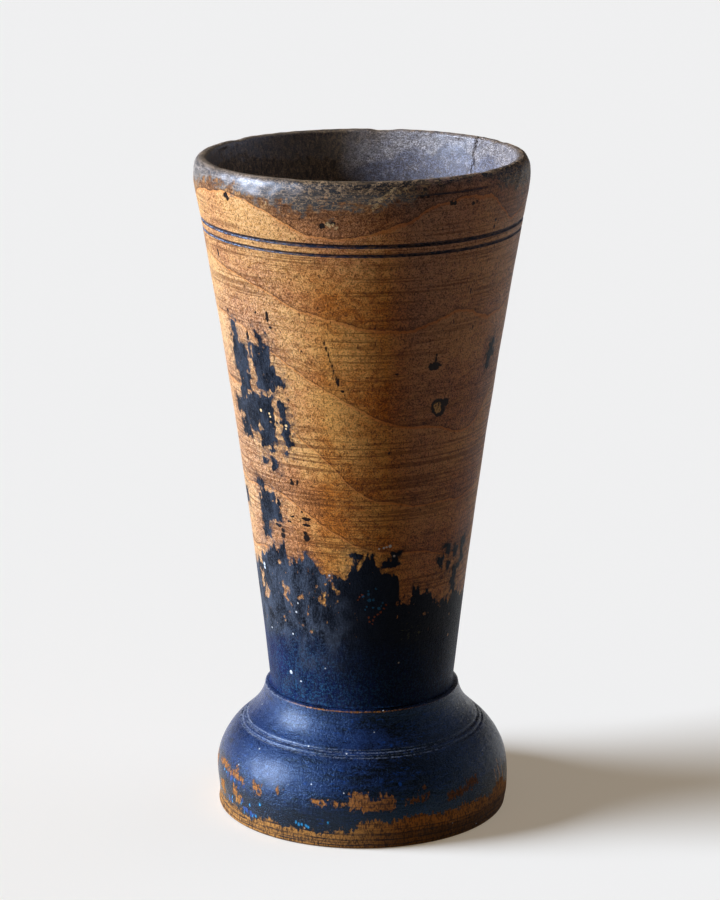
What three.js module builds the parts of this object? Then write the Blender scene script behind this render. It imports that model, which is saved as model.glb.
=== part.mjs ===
// A turned wooden cup: a flared beaker whose spigot is glued into a cushion foot, with a floor disc
// held in a rebate between the two. Millimetres, +Z up, origin at the middle of the base.
import * as THREE from 'three';

// Driving dimensions of the whole cup
const overallHeight = 200.8;
const sidesRound = 64;
const glueLine = 0.15; // gap left between glued faces

// Beaker, outside: its radius grows from the waist as a + b*x + c*x^2, with x the height above the waist
const waistHeight = 38.4;
const waistRadius = 27.6;
const flareSlope = 0.1028;
const flareGrowth = 0.000246;
const outsideSteps = 9;
const clearOfLines = 2; // the plain flare is drawn up to this far below the scribed lines

// Beaker, rim: the wall turns upright, rounds over a worn outer shoulder, and ends in a tighter inner edge
const lipStart = 188; // height at which the wall leaves the flare
const lipWidest = new THREE.Vector2(49.35, 196.5);
const lipControl = new THREE.Vector2(49.55, 193.6);
const lipShoulderRadius = 49;
const lipCrestRadius = 46.8;
const lipInnerRadius = 45.1;
const lipInnerDrop = 1.2;
const lipSteps = 4;

// Beaker, inside: a bore that narrows downwards along one soft curve
const boreControl = new THREE.Vector2(29.6, 105);
const boreBottomRadius = 17;
const boreSteps = 8;

// Beaker, lower end: a spigot under a square shoulder, and a rebate for the floor disc
const spigotRadius = 22;
const spigotLength = 16.2;
const rebateRadius = 19;
const rebateDepth = 5.2;

// Scribed lines, each a V groove round the wall
const rimLines = [
  { height: 182.2, width: 0.9, depth: 0.5 },
  { height: 179.4, width: 0.7, depth: 0.35 },
];
const shoulderLines = [
  { radius: 35.4, height: 27.5, width: 0.8, depth: 0.35 },
  { radius: 36.5, height: 26.3, width: 0.7, depth: 0.3 },
];

// Foot
const ledgeRadius = 29.3;
const ledgeLevelWidth = 0.2; // level just outside the beaker, and then
const ledgeDrop = 0.55; // sloping down to the ledge's outer edge by this much
const neckControl = new THREE.Vector2(30.2, 32);
const roundRadius = 44.5; // the widest place
const roundHeight = 9.5;
const roundHalfWidth = 17.2; // half axes of the ellipse that the upper round follows
const roundHalfHeight = 20;
const roundSteps = 9;
const neckSteps = 6;
const baseEdgeRadius = 43.8;
const baseEdgeHeight = 1.4;
const baseFlankHeight = 4; // the flank stands almost upright above this
const baseSteps = 4;
const baseContactRadius = 42.4;
const baseRingInnerRadius = 31; // the base is dished inside this, so that the cup stands on a ring
const baseDish = 1.2;
const baseDishSlope = 2;

// Revolves an outline of (radius, height) points round the cup's upright axis. An outline that doesn't start
// on the axis is closed on itself, as a ring.
function revolve(outline) {
  const closed = outline[0].x > 0 ? [...outline, outline[0].clone()] : outline;
  const geometry = new THREE.LatheGeometry(closed, sidesRound);
  geometry.rotateX(Math.PI / 2);
  return geometry;
}

function piece(name, outline, color, roughness) {
  const material = new THREE.MeshStandardMaterial({ color, roughness, metalness: 0 });
  const mesh = new THREE.Mesh(revolve(outline), material);
  mesh.name = name;
  return mesh;
}

const at = (radius, height) => new THREE.Vector2(radius, height);

function beakerRadius(height) {
  const x = height - waistHeight;
  return waistRadius + flareSlope * x + flareGrowth * x * x;
}

// The three points of a V groove, from its lower edge to its upper edge, on the beaker's outside
function rimGroove({ height, width, depth }) {
  return [height - width / 2, height, height + width / 2].map((z) => {
    const cut = z === height ? depth : 0;
    return at(beakerRadius(z) - cut, z);
  });
}

function beakerOutline() {
  const lowestLine = Math.min(...rimLines.map((line) => line.height));
  const plainTop = lowestLine - clearOfLines;
  const outside = [];
  for (let i = 0; i <= outsideSteps; i += 1) {
    const z = waistHeight + ((plainTop - waistHeight) * i) / outsideSteps;
    outside.push(at(beakerRadius(z), z));
  }
  const grooves = [...rimLines].sort((a, b) => a.height - b.height).flatMap(rimGroove);

  const rim = new THREE.Path();
  rim.moveTo(beakerRadius(lipStart), lipStart);
  rim.quadraticCurveTo(lipControl.x, lipControl.y, lipWidest.x, lipWidest.y);
  rim.quadraticCurveTo(lipShoulderRadius, overallHeight, lipCrestRadius, overallHeight);
  rim.quadraticCurveTo(lipInnerRadius, overallHeight, lipInnerRadius, overallHeight - lipInnerDrop);

  const rebateShoulder = waistHeight - spigotLength + rebateDepth;
  const bore = new THREE.QuadraticBezierCurve(
    at(lipInnerRadius, overallHeight - lipInnerDrop),
    boreControl,
    at(boreBottomRadius, rebateShoulder),
  );

  const spigotEnd = waistHeight - spigotLength;
  const lowerEnd = [
    at(rebateRadius, rebateShoulder),
    at(rebateRadius, spigotEnd),
    at(spigotRadius, spigotEnd),
    at(spigotRadius, waistHeight),
  ];
  return [
    ...outside,
    ...grooves,
    ...rim.getPoints(lipSteps),
    ...bore.getPoints(boreSteps).slice(1),
    ...lowerEnd,
  ];
}

function floorDiscOutline() {
  const bottom = waistHeight - spigotLength;
  const top = bottom + rebateDepth - glueLine;
  const radius = rebateRadius - glueLine;
  return [at(0, bottom), at(radius, bottom), at(radius, top), at(0, top)];
}

// A V groove on a sloping shoulder: in from the surface, square to it
function shoulderGroove(line, slope) {
  const along = slope.clone().normalize();
  const inward = at(-along.y, along.x);
  const centre = at(line.radius, line.height);
  return [
    centre.clone().addScaledVector(along, -line.width / 2),
    centre.clone().addScaledVector(inward, line.depth),
    centre.clone().addScaledVector(along, line.width / 2),
  ];
}

// A point of the upper round, which follows an ellipse from the widest place up towards the shoulder
function roundPoint(turn) {
  const centreRadius = roundRadius - roundHalfWidth;
  return at(
    centreRadius + roundHalfWidth * Math.cos(turn),
    roundHeight + roundHalfHeight * Math.sin(turn),
  );
}

function footOutline() {
  const [upperLine, lowerLine] = shoulderLines;
  const base = new THREE.Path();
  base.moveTo(baseRingInnerRadius - baseDishSlope, baseDish);
  base.lineTo(baseRingInnerRadius, 0);
  base.lineTo(baseContactRadius, 0);
  base.quadraticCurveTo(baseEdgeRadius, 0, baseEdgeRadius, baseEdgeHeight);
  base.quadraticCurveTo(roundRadius, baseFlankHeight, roundRadius, roundHeight);

  const lastTurn = Math.asin((lowerLine.height - lowerLine.width - roundHeight) / roundHalfHeight);
  const round = [];
  for (let i = 1; i <= roundSteps; i += 1) {
    round.push(roundPoint((lastTurn * i) / roundSteps));
  }

  const slope = at(upperLine.radius - lowerLine.radius, upperLine.height - lowerLine.height);
  const lines = [lowerLine, upperLine].flatMap((line) => shoulderGroove(line, slope));

  const ledgeHeight = waistHeight - glueLine;
  const neck = new THREE.QuadraticBezierCurve(
    lines.at(-1),
    neckControl,
    at(ledgeRadius, ledgeHeight - ledgeDrop),
  );

  const socketRadius = spigotRadius + glueLine;
  const socketFloor = waistHeight - spigotLength - glueLine;
  const socket = [
    at(waistRadius + ledgeLevelWidth, ledgeHeight),
    at(socketRadius, ledgeHeight),
    at(socketRadius, socketFloor),
    at(0, socketFloor),
  ];
  return [
    at(0, baseDish),
    ...base.getPoints(baseSteps),
    ...round,
    ...lines,
    ...neck.getPoints(neckSteps).slice(1),
    ...socket,
  ];
}

const cup = new THREE.Group();
cup.name = 'wooden_cup';
cup.add(
  piece('foot', footOutline(), 0x1d2a52, 0.45),
  piece('floor_disc', floorDiscOutline(), 0x4a3524, 0.8),
  piece('beaker', beakerOutline(), 0x8a5a30, 0.5),
);

export default cup;
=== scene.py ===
"""An old turned wooden cup: a flared beaker glued into a painted cushion foot.

Each piece is a surface turned round the cup's upright axis and worked out with numpy. Heights,
radii and widths are in millimetres. Angles are in degrees round the cup: 0 faces the viewer
(-Y) and 90 faces +X. The meshes are written in metres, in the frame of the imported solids.
"""

import functools
import math
from types import SimpleNamespace

import bpy
import numpy as np
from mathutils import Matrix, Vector


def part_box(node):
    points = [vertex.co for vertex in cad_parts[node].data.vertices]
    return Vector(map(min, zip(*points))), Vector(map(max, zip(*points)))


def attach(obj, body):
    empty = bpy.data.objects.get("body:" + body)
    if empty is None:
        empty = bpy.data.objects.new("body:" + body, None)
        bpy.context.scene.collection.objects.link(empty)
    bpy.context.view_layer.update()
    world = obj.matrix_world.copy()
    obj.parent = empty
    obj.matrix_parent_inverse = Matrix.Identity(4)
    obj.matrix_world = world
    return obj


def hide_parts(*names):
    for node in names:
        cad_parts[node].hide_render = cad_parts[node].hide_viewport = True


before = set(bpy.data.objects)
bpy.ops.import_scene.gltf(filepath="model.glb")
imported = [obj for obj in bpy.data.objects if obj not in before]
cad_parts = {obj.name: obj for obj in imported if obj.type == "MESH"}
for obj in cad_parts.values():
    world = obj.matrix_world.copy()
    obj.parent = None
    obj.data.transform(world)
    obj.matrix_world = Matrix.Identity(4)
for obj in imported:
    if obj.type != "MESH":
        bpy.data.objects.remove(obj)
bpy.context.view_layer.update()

MM = 0.001

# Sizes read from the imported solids
BEAKER_LOW, BEAKER_HIGH = (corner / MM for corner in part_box("beaker"))
FOOT_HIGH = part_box("foot")[1] / MM
DISC_LOW, DISC_HIGH = (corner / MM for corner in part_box("floor_disc"))
GLUE_LINE = 0.15
RIM_HEIGHT = BEAKER_HIGH.z
WAIST_HEIGHT = FOOT_HIGH.z + GLUE_LINE
SPIGOT_END = BEAKER_LOW.z
REBATE_TOP = DISC_HIGH.z + GLUE_LINE
ROUND_RADIUS = FOOT_HIGH.x

# Beaker: the same driving sizes as its solid
WAIST_RADIUS = 27.6
FLARE_SLOPE = 0.1028
FLARE_GROWTH = 0.000246
LIP_START = 188.0
LIP_CONTROL = (49.55, 193.6)
LIP_WIDEST = (49.2, 196.5)
LIP_SHOULDER_RADIUS = 49.0
LIP_CREST_RADIUS = 46.8
LIP_INNER_RADIUS = 45.1
LIP_INNER_DROP = 1.2
BORE_CONTROL = (29.6, 105.0)
BORE_BOTTOM_RADIUS = 17.0
SPIGOT_RADIUS = 22.0
REBATE_RADIUS = 19.0
RIM_LINES = [(182.2, 0.9, 0.5), (179.4, 0.7, 0.35)]  # height, width, depth

# Foot: the same driving sizes as its solid
LEDGE_RADIUS = 29.3
LEDGE_DROP = 0.55
NECK_CONTROL = (30.2, 32.0)
ROUND_HEIGHT = 9.5
ROUND_HALF_WIDTH = 17.2
ROUND_HALF_HEIGHT = 20.0
ROUND_TOP = (37.2, 25.7)
NECK_BOTTOM = (35.15, 27.8)
SHOULDER_LINES = [(27.5, 0.8, 0.35), (26.3, 0.7, 0.3)]  # height, width, depth
BASE_EDGE = (43.8, 1.4)
BASE_FLANK_HEIGHT = 4.0
BASE_CONTACT_RADIUS = 42.4
BASE_RING_INNER_RADIUS = 31.0
BASE_DISH = 1.2

# Grids
COLUMNS = 344  # about 0.9 mm apart at the rim
WALL_STEP = 1.15
SKIRT_STEPS = [0, 0.1, 0.22, 0.38]  # heights above the waist, close together where the wall meets the ledge
LINE_REACH = 0.9  # close steps run this far above and below each scribed line
LINE_STEP = 0.12
CLOSE_BORE_POINTS = 24  # near the rim every point of the bore is kept, and below it one in six
BORE_SKIP = 6


# Small numpy helpers


def smooth(low, high, value):
    """0 below low, 1 above high, and the cubic 3t^2 - 2t^3 between them."""
    t = np.clip((value - low) / (high - low), 0, 1)
    return t * t * (3 - 2 * t)


def curve(start, control, end, count):
    """A quadratic curve: (1-t)^2 start + 2t(1-t) control + t^2 end, for count values of t."""
    t = np.linspace(0, 1, count)[:, None]
    start, control, end = (np.array(p, float) for p in (start, control, end))
    return (1 - t) ** 2 * start + 2 * t * (1 - t) * control + t**2 * end


def turn_apart(angle, centre):
    """The signed angle from centre to angle the short way round, in degrees."""
    return (angle - centre + 180) % 360 - 180


def round_the_cup(points, angle):
    """A smooth closed curve through (angle, height) points: a cubic between neighbours whose
    slope at each point is that of the line between the points on either side of it."""
    knots = np.array(sorted((a % 360, h) for a, h in points), float)
    at, height = knots[:, 0], knots[:, 1]
    at = np.concatenate([at[-2:] - 360, at, at[:2] + 360])
    height = np.concatenate([height[-2:], height, height[:2]])
    slope = np.zeros_like(height)
    slope[1:-1] = (height[2:] - height[:-2]) / (at[2:] - at[:-2])
    a = angle % 360
    i = np.clip(np.searchsorted(at, a, side="right") - 1, 1, len(at) - 3)
    step = at[i + 1] - at[i]
    t = (a - at[i]) / step
    return (
        height[i] * (1 + 2 * t) * (1 - t) ** 2
        + height[i + 1] * t**2 * (3 - 2 * t)
        + slope[i] * step * t * (1 - t) ** 2
        - slope[i + 1] * step * t**2 * (1 - t)
    )


def unevenness(angle, height, lobes, rise, seed, waves=14):
    """A smooth uneven field between about -1 and 1: a sum of cosines, each with a whole number of
    lobes round the cup up to `lobes` and a wavelength in height of at least `rise` mm."""
    rng = np.random.default_rng(seed)
    total = np.zeros(np.broadcast(angle, height).shape)
    for _ in range(waves):
        turns = rng.integers(1, lobes + 1)
        pitch = rng.uniform(-1, 1) / rise
        phase = rng.uniform(0, 2 * math.pi)
        total = total + np.cos(np.radians(angle) * turns + 2 * math.pi * pitch * height + phase)
    return total / math.sqrt(waves)


def stroke_depth(angle, height, stroke, radius):
    """How far a point is inside an upright stroke, in mm: the least of its distances in from
    the stroke's sides and from its ends. A stroke is (left angle, right angle, bottom, top)."""
    left, right, bottom, top = stroke
    half_width = np.radians(right - left) / 2 * radius
    across = half_width - np.abs(np.radians(turn_apart(angle, (left + right) / 2)) * radius)
    along = (top - bottom) / 2 - np.abs(height - (bottom + top) / 2)
    return np.minimum(across, along)


# Meshes


def turned_mesh(name, radius, height, angle, fields, closes):
    """A turned surface from a grid of radius and height at each outline point and angle.

    A point is (r sin a, -r cos a, h). The grid joins its last column to its first. Where closes
    is true its last row joins its first, as in a ring; otherwise each end row is gathered into
    one point on the axis."""
    rows, columns = radius.shape
    turn = np.radians(angle)[None, :]
    points = np.stack([radius * np.sin(turn), -radius * np.cos(turn), height], -1) * MM
    index = np.arange(rows * columns).reshape(rows, columns)
    ahead = np.roll(index, -1, axis=1)
    if closes:
        upper, upper_ahead = np.roll(index, -1, axis=0), np.roll(ahead, -1, axis=0)
        lower, lower_ahead = index, ahead
    else:
        lower, lower_ahead, upper, upper_ahead = index[:-1], ahead[:-1], index[1:], ahead[1:]
    quads = np.stack([lower, lower_ahead, upper_ahead, upper], -1).reshape(-1, 4)
    points = points.reshape(-1, 3)
    faces = quads.tolist()
    values = {key: np.broadcast_to(field, radius.shape).reshape(-1) for key, field in fields.items()}
    if not closes:
        first = np.stack([ahead[0], index[0], np.full(columns, len(points))], -1)
        last = np.stack([index[-1], ahead[-1], np.full(columns, len(points) + 1)], -1)
        ends = [[0, 0, height[0].mean() * MM], [0, 0, height[-1].mean() * MM]]
        points = np.concatenate([points, ends])
        faces += first.tolist() + last.tolist()
        values = {key: np.append(v, [v[0], v[-1]]) for key, v in values.items()}
    mesh = bpy.data.meshes.new(name)
    mesh.from_pydata(points.tolist(), [], faces)
    for key, value in values.items():
        layer = mesh.attributes.new(key, "FLOAT", "POINT")
        layer.data.foreach_set("value", value.astype(np.float32))
    mesh.shade_smooth()
    mesh.update()
    piece = bpy.data.objects.new(name, mesh)
    bpy.context.scene.collection.objects.link(piece)
    return piece


# Beaker


def flare_radius(height):
    """The plain outside: waist radius + slope x + growth x^2, with x the height above the waist."""
    x = height - WAIST_HEIGHT
    return WAIST_RADIUS + FLARE_SLOPE * x + FLARE_GROWTH * x * x


def beaker_outline():
    """The closed outline as radius, height and how far inside the cup each point is, from 0 on
    the outside to 1 on the bore, with close steps across each scribed line and round the lip."""
    plain = np.arange(WAIST_HEIGHT + 0.6, LIP_START, WALL_STEP)
    skirt = WAIST_HEIGHT + np.array(SKIRT_STEPS)
    close_steps = np.arange(-LINE_REACH, LINE_REACH + 0.01, LINE_STEP)
    across_lines = [middle + close_steps for middle, _, _ in RIM_LINES]
    heights = np.unique(np.round(np.concatenate([skirt, plain, *across_lines]), 3))
    wall = np.stack([flare_radius(heights), heights], -1)
    crest = (LIP_CREST_RADIUS, RIM_HEIGHT)
    bore_top = (LIP_INNER_RADIUS, RIM_HEIGHT - LIP_INNER_DROP)
    swell = curve((flare_radius(LIP_START), LIP_START), LIP_CONTROL, LIP_WIDEST, 9)[:-1]
    shoulder = curve(LIP_WIDEST, (LIP_SHOULDER_RADIUS, RIM_HEIGHT), crest, 13)[:-1]
    edge = curve(crest, (LIP_INNER_RADIUS, RIM_HEIGHT), bore_top, 9)[:-1]
    bore = curve(bore_top, BORE_CONTROL, (BORE_BOTTOM_RADIUS, REBATE_TOP), 200)
    near_rim = bore[:CLOSE_BORE_POINTS]
    deeper = bore[CLOSE_BORE_POINTS::BORE_SKIP]
    socket_end = np.array(
        [
            [BORE_BOTTOM_RADIUS, REBATE_TOP],
            [REBATE_RADIUS, REBATE_TOP],
            [REBATE_RADIUS, SPIGOT_END],
            [SPIGOT_RADIUS, SPIGOT_END],
            [SPIGOT_RADIUS, WAIST_HEIGHT],
        ]
    )
    stretches = [wall, swell, shoulder, edge, near_rim, deeper, socket_end]
    inside = np.concatenate(
        [
            np.zeros(len(wall) + len(swell)),
            np.linspace(0, 0.5, len(shoulder)),
            np.linspace(0.5, 0.9, len(edge)),
            np.ones(len(near_rim) + len(deeper) + len(socket_end)),
        ]
    )
    outline = np.concatenate(stretches)
    return outline[:, 0], outline[:, 1], inside


# Age and wear on the beaker, in mm unless they are angles
OVALNESS = 0.1
THREE_SIDEDNESS = 0.04
WAIST_FILLET = 0.55
FILLET_FADE = 0.28
RIM_KNOBS = 0.07
RIM_LUMPS = 0.05
HAND_DENTS = 0.05
RIM_LEAN = 0.97  # the rim rises and falls by this much about its mean height
RIM_HIGH_SIDE = 14.0
RIM_NICKS = [(172, 3.2, 0.45), (118, 2.2, 0.25), (-128, 2.6, 0.3), (-62, 1.8, 0.2), (48, 2.0, 0.22)]
CREST_WEAR = 0.04
CREST_PITS = 0.03
CRACK_ANGLE = 130.5
CRACK_BOTTOM = 187.0
CRACK_WIDTH = 0.12  # at its bottom
CRACK_OPENING = 0.32  # how much wider it is at the crest
CRACK_DEPTH = 0.9  # into the bore's wall
CRACK_NOTCH = 0.45  # down into the crest


def crack_angle(height):
    """The rim crack wanders by about half a degree as it goes down."""
    return CRACK_ANGLE + 0.5 * np.sin(height * 1.1) + 0.25 * np.sin(height * 2.9)


def shape_beaker(radius, height, inside, angle):
    """Age and wear on the turned shape: slightly oval, scribed lines cut in, a knobbly worn rim
    that leans down towards the back, nicks in its crest and a crack in the bore."""
    base_radius, base_height = radius, height
    outside = inside == 0
    oval = OVALNESS * np.cos(np.radians(2 * (angle - 20)))
    oval = oval + THREE_SIDEDNESS * np.cos(np.radians(3 * angle + 50))
    radius = radius + oval * smooth(WAIST_HEIGHT + 4, WAIST_HEIGHT + 60, height)
    for middle, width, depth in RIM_LINES:
        ragged = 1 + 0.2 * unevenness(angle, height, 90, 3, seed=3)
        cut = depth * ragged * np.exp(-(((height - middle) / (0.42 * width)) ** 2))
        radius = radius - cut * outside
    fillet = WAIST_FILLET * np.exp(-(height - WAIST_HEIGHT) / FILLET_FADE)
    radius = radius + fillet * outside
    near_rim = smooth(LIP_START, LIP_START + 6, height)
    knobs = RIM_KNOBS * unevenness(angle, height, 80, 4, seed=11, waves=30)
    knobs = knobs + RIM_LUMPS * unevenness(angle, height, 30, 8, seed=12)
    radius = radius + knobs * near_rim * np.where(inside > 0.9, -0.6, 1)
    hand_dents = HAND_DENTS * unevenness(angle, height, 16, 20, seed=13)
    radius = radius + hand_dents * outside
    lean = RIM_LEAN * (np.cos(np.radians(angle - RIM_HIGH_SIDE)) - 1)
    height = height + lean * smooth(LIP_START - 3, RIM_HEIGHT - 1, base_height)
    crest = smooth(RIM_HEIGHT - 3.5, RIM_HEIGHT - 0.5, base_height)
    for centre, half_width, depth in RIM_NICKS:
        away = np.radians(turn_apart(angle, centre)) * LIP_CREST_RADIUS / half_width
        height = height - depth * np.exp(-(away**4)) * crest
    pits = CREST_PITS * (1 + unevenness(angle, 0, 70, 9, seed=14, waves=24))
    height = height - (CREST_WEAR + pits) * crest
    away = np.radians(turn_apart(angle, crack_angle(base_height))) * base_radius
    width = CRACK_WIDTH + CRACK_OPENING * smooth(CRACK_BOTTOM + 2, RIM_HEIGHT - 2, base_height)
    open_crack = smooth(CRACK_BOTTOM, CRACK_BOTTOM + 4, base_height) * (inside >= 0.5)
    gape = np.exp(-((away / width) ** 2)) * open_crack
    radius = radius + CRACK_DEPTH * gape * (inside > 0.9)
    height = height - CRACK_NOTCH * gape * (inside < 0.9)
    return radius, height


# Growth rings cross the outside as arches, lowest first. Each is a line of (angle, height) points.
OUTER_ARCHES = [
    [(-80, 84), (-48, 86), (-20, 79), (10, 72), (50, 69), (110, 76), (180, 96), (235, 92)],
    [
        (-80, 104), (-48, 105.5), (-26, 99), (0, 89.5), (30, 87.5), (58, 85), (110, 96), (180, 117),
        (235, 111),
    ],
    [
        (-75, 136), (-60, 135), (-38, 128.8), (-20, 119), (-3, 108.7), (8, 103.6), (36, 102.3), (70, 104),
        (115, 122), (180, 146), (235, 141),
    ],
    [
        (-77, 157), (-55, 154.7), (-38, 147.8), (-14, 138.5), (6, 130.2), (20, 126.2), (35, 126.4),
        (47, 123.8), (58, 124.8), (71, 133.5), (115, 152), (180, 167), (235, 162),
    ],
    [
        (-63, 171.5), (-42, 168.5), (-28, 163.1), (-8, 159.1), (8, 156.6), (20, 157), (40, 160.8),
        (59, 156.8), (76, 159.5), (115, 172), (180, 184), (235, 178),
    ],
    [
        (-84, 190), (-74, 192.3), (-62, 194.6), (-48, 194), (-34, 191), (-20, 186), (-6, 185.2),
        (10, 188.4), (17, 190.5), (24, 193.8), (34, 195.2), (44, 195.4), (50, 194.4), (56, 189.8),
        (62.5, 185.5), (77, 188.5), (115, 197), (180, 204), (235, 200),
    ],
]
ARCH_STEP = 22.0  # spacing of the arches above and below those drawn
LEAST_RING = 2.0  # no growth ring is narrower than this where it crosses the wall

# The same rings cross the bore, higher up, as scallops
BORE_SCALLOPS = [
    (100, 190), (112, 193.5), (122, 195.8), (130, 193.6), (135, 196), (142, 197.4), (148, 196),
    (151, 192.6), (155, 195), (160, 195.4), (166, 192), (174, 190), (186, 187), (205, 184), (240, 181),
    (300, 178), (20, 182), (60, 186),
]

# The lower edge of the dark, greasy rim on the outside
GREASE_EDGE = [
    (-90, 193), (-76, 194.5), (-64, 196.5), (-50, 196), (-38, 194), (-24, 192.5), (-10, 192.3), (4, 193.8),
    (14, 195), (20, 197), (26, 199.4), (42, 199.8), (50, 198), (62, 193.5), (76, 192.5), (100, 195),
    (140, 192), (180, 190), (220, 193), (250, 196),
]


def ring_count(angle, height, arches):
    """How many growth rings lie below a point: each pair of neighbouring arches adds the share
    of the way up between them, held between 0 and 1."""
    lines = [round_the_cup(points, angle) for points in arches]
    lines = [lines[0] - ARCH_STEP * k for k in (3, 2, 1)] + lines + [lines[-1] + ARCH_STEP]
    total = np.zeros(np.broadcast(angle, height).shape)
    for low, high in zip(lines, lines[1:]):
        high = np.maximum(high, low + LEAST_RING)
        total = total + np.clip((height - low) / (high - low), 0, 1)
    return total


# The paint's ragged top edge on the beaker as (angle, height)
PAINT_EDGE = [
    (-80, 78), (-66, 81), (-58, 85), (-52, 86.5), (-47, 86), (-43.5, 88.8), (-42, 84), (-36, 85),
    (-32, 84.2), (-29, 87.4), (-26, 85), (-22, 81.6), (-17, 80.2), (-9, 80.6), (-6, 83), (-1.5, 84),
    (1.5, 87), (6.5, 87), (8, 83.4), (19, 80.4), (21, 73.6), (26, 72.6), (28, 76.6), (31, 76), (32.5, 73.8),
    (37, 73.8), (39, 74.6), (42, 71), (58, 69.4), (60, 72), (64, 70.4), (78, 68), (95, 73), (104, 80),
    (112, 81), (120, 77.5), (128, 79), (140, 74), (150, 73.4), (155, 70.6), (170, 75), (178, 81),
    (186, 82.4), (193, 79.6), (201, 83), (212, 79), (228, 75), (245, 77), (262, 80),
]

# Strokes of paint left above the edge as (left angle, right angle, bottom, top)
PAINT_STROKES = [
    (-63.5, -58.5, 147.5, 155), (-65, -53, 139.5, 149), (-62, -53.5, 134.5, 141), (-46, -41, 150, 154),
    (-51, -39, 142.8, 150), (-49, -37, 136, 144), (-39, -34, 138, 141.4), (-63, -56.5, 132, 135),
    (-64, -51.5, 122, 134), (-71, -61, 126.5, 131), (-67, -58.5, 119.5, 124.5), (-53, -40.5, 126, 134.6),
    (-50.5, -41, 118.4, 127), (-46, -42, 116.8, 119.5), (-37.8, -32.8, 127.6, 134),
    (-36.6, -32.2, 121, 128.6), (-35.9, -34, 117.6, 121), (-52.5, -47.2, 113, 115.4),
    (-46, -41, 111.3, 115), (-61, -55, 104.5, 107), (-58.5, -46, 100.5, 104.2), (-59.5, -43.5, 95, 101.4),
    (-59.5, -52.5, 89, 95.5), (-48, -42, 95.2, 98), (-85, -76, 95.5, 101), (-6, 0.5, 86.6, 88.1),
    (-5, -2, 83.4, 85), (9, 19, 83.2, 85.3), (12, 20, 85.8, 88), (46.8, 51, 83.6, 87.4),
    (44, 47.2, 80.3, 83.8), (55.5, 60, 81.6, 86), (50, 53, 78.8, 82.3), (56, 61.5, 71.8, 79.4),
    (62, 68, 79.6, 88.4), (63, 67.6, 143.6, 149.6), (61, 65, 140, 145), (96, 101, 110, 124),
    (101, 108, 105, 113), (140, 147, 97, 109), (148, 153, 106, 118), (173, 179, 132, 143),
    (179, 188, 126, 136), (184, 191, 115, 128), (222, 226, 145, 155), (226, 234, 136, 146),
    (233, 240, 112, 122), (246, 254, 99, 108),
]
PAINT_WINDOWS = [
    (-71, -67, 71, 76), (-68, -63, 68, 72.5), (-48, -46, 74.5, 77.8), (-46.2, -43.4, 69.8, 74.4),
    (-35, -33.4, 72.4, 74.2), (-21.4, -19.4, 71.8, 75.2), (-16.6, -15.4, 76.4, 79.4),
    (-13, -12, 72.6, 75.2), (-24.4, -23.2, 70.6, 73), (21, 26.5, 71, 73.2), (113, 121, 70, 78),
    (186, 194, 74, 82), (203, 207, 66, 74),
]


PAINT_STREAKS = 1.0  # how far upright streaks move the paint's edge up or down
DEEPEST_PAINT = 40
FARTHEST_OUT = -6  # depths are held at this far outside an edge


def beaker_paint(angle, height, inside):
    """How deep a point is inside the beaker's paint, in mm: under the ragged edge or in a stroke
    above it, and out of every worn window. Narrow upright streaks come from a field that
    changes fast round the cup and slowly in height."""
    radius = flare_radius(height)
    streaks = PAINT_STREAKS * unevenness(angle, height, 130, 30, seed=21, waves=40)
    depth = round_the_cup(PAINT_EDGE, angle) + streaks - height
    for stroke in PAINT_STROKES:
        depth = np.maximum(depth, stroke_depth(angle, height, stroke, radius))
    for window in PAINT_WINDOWS:
        depth = np.minimum(depth, -stroke_depth(angle, height, window, radius))
    return np.where(inside > 0.2, FARTHEST_OUT, np.clip(depth, FARTHEST_OUT, DEEPEST_PAINT))


def build_beaker():
    """The beaker's outline carried round the cup, with extra columns a quarter of a degree apart
    across the crack, and what its finish reads: growth rings, paint, grease and inside."""
    radius, height, inside = beaker_outline()
    angle = np.linspace(-180, 180, COLUMNS, endpoint=False)
    across_crack = CRACK_ANGLE + np.arange(-1.5, 1.51, 0.25)
    clear = np.abs(turn_apart(angle, CRACK_ANGLE)) > 1.8
    angle = np.sort(np.concatenate([angle[clear], across_crack]))
    radius, height, inside = radius[:, None], height[:, None], inside[:, None]
    grid = np.broadcast_to(angle[None, :], (len(radius), len(angle)))
    outer = ring_count(grid, height, OUTER_ARCHES)
    bore = ring_count(grid, height, [BORE_SCALLOPS])
    fields = {
        "ring": np.where(inside > 0.95, bore, outer),
        "paint": beaker_paint(grid, height, inside),
        "grease": height - round_the_cup(GREASE_EDGE, grid),
        "inside": inside,
    }
    shaped = np.broadcast_arrays(*shape_beaker(radius, height, inside, grid), grid)[:2]
    return turned_mesh("turned_beaker", *shaped, angle, fields, closes=True)


# Foot


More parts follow.
